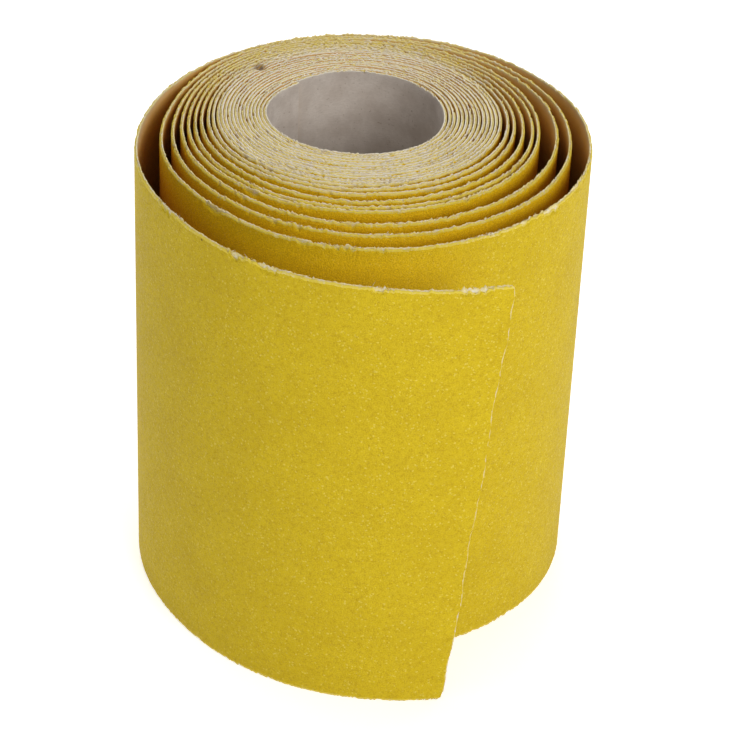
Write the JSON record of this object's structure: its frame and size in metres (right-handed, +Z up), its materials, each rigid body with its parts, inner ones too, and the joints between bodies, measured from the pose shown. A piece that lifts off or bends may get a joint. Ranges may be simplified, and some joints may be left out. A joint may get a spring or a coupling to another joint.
{
  "type": "abrasive paper roll",
  "caption": "Coreless roll of yellow coated abrasive paper standing on its cut edge, its outer turns sprung loose and its end a free tail that opens.",
  "frame": {"origin": "middle of the roll's outline, on the surface it stands on", "axes": "+Z up along the bore, +Y to the back where the turns touch, -Y to the front where the free tail stands off"},
  "size_m": [0.109, 0.1266, 0.115],
  "materials": {
    "paper_back": "matte",
    "grit_coat": "rough matte with a fine sparkle"
  },
  "bodies": {
    "roll": {"loose_turn_1_paper": "paper_back", "loose_turn_1_grit": "grit_coat", "loose_turn_2_paper": "paper_back", "loose_turn_2_grit": "grit_coat", "loose_turn_3_paper": "paper_back", "loose_turn_3_grit": "grit_coat", "loose_turn_4_paper": "paper_back", "loose_turn_4_grit": "grit_coat", "loose_turn_5_paper": "paper_back", "loose_turn_5_grit": "grit_coat", "loose_turn_6_paper": "paper_back", "loose_turn_6_grit": "grit_coat", "loose_turn_7_paper": "paper_back", "loose_turn_7_grit": "grit_coat", "loose_turn_8_paper": "paper_back", "loose_turn_8_grit": "grit_coat", "outer_turn_paper": "paper_back", "outer_turn_grit": "grit_coat"},
    "coil": {"coil_paper": "paper_back", "coil_grit": "grit_coat"},
    "tail_1": {"tail_1_paper": "paper_back", "tail_1_grit": "grit_coat"},
    "tail_2": {"tail_2_paper": "paper_back", "tail_2_grit": "grit_coat"},
    "tail_3": {"tail_3_paper": "paper_back", "tail_3_grit": "grit_coat"},
    "tail_4": {"tail_4_paper": "paper_back", "tail_4_grit": "grit_coat"},
    "tail_5": {"tail_5_paper": "paper_back", "tail_5_grit": "grit_coat"},
    "tail_6": {"tail_6_paper": "paper_back", "tail_6_grit": "grit_coat"},
    "tail_7": {"tail_7_paper": "paper_back", "tail_7_grit": "grit_coat"},
    "tail_8": {"tail_8_paper": "paper_back", "tail_8_grit": "grit_coat"}
  },
  "joints": [
    {"name": "coil_slide", "type": "slide", "parent": "roll", "child": "coil", "axis": [0, 0, 1], "range_m": [0, 0.02]},
    {"name": "tail_1_hinge", "type": "hinge", "parent": "roll", "child": "tail_1", "pos_m": [-0.02713, 0.05458, 0], "axis": [0, 0, -1], "range_deg": [-1, 21], "stiffness_Nm_per_rad": 0.05},
    {"name": "tail_2_hinge", "type": "hinge", "parent": "tail_1", "child": "tail_2", "pos_m": [-0.04184, 0.04095, 0], "axis": [0, 0, -1], "range_deg": [-1, 21], "stiffness_Nm_per_rad": 0.05},
    {"name": "tail_3_hinge", "type": "hinge", "parent": "tail_2", "child": "tail_3", "pos_m": [-0.05157, 0.02087, 0], "axis": [0, 0, -1], "range_deg": [-1, 21], "stiffness_Nm_per_rad": 0.05},
    {"name": "tail_4_hinge", "type": "hinge", "parent": "tail_3", "child": "tail_4", "pos_m": [-0.05385, -0.00308, 0], "axis": [0, 0, -1], "range_deg": [-1, 21], "stiffness_Nm_per_rad": 0.05},
    {"name": "tail_5_hinge", "type": "hinge", "parent": "tail_4", "child": "tail_5", "pos_m": [-0.04776, -0.0245, 0], "axis": [0, 0, -1], "range_deg": [-1, 21], "stiffness_Nm_per_rad": 0.05},
    {"name": "tail_6_hinge", "type": "hinge", "parent": "tail_5", "child": "tail_6", "pos_m": [-0.03129, -0.04685, 0], "axis": [0, 0, -1], "range_deg": [-1, 21], "stiffness_Nm_per_rad": 0.05},
    {"name": "tail_7_hinge", "type": "hinge", "parent": "tail_6", "child": "tail_7", "pos_m": [-0.01249, -0.05876, 0], "axis": [0, 0, -1], "range_deg": [-1, 21], "stiffness_Nm_per_rad": 0.05},
    {"name": "tail_8_hinge", "type": "hinge", "parent": "tail_7", "child": "tail_8", "pos_m": [0.00946, -0.06289, 0], "axis": [0, 0, -1], "range_deg": [-1, 21], "stiffness_Nm_per_rad": 0.05}
  ],
  "couplings": [
    {"joint": "tail_2_hinge", "follows": "tail_1_hinge", "ratio": 1},
    {"joint": "tail_3_hinge", "follows": "tail_1_hinge", "ratio": 1},
    {"joint": "tail_4_hinge", "follows": "tail_1_hinge", "ratio": 1},
    {"joint": "tail_5_hinge", "follows": "tail_1_hinge", "ratio": 1},
    {"joint": "tail_6_hinge", "follows": "tail_1_hinge", "ratio": 1},
    {"joint": "tail_7_hinge", "follows": "tail_1_hinge", "ratio": 1},
    {"joint": "tail_8_hinge", "follows": "tail_1_hinge", "ratio": 1}
  ]
}
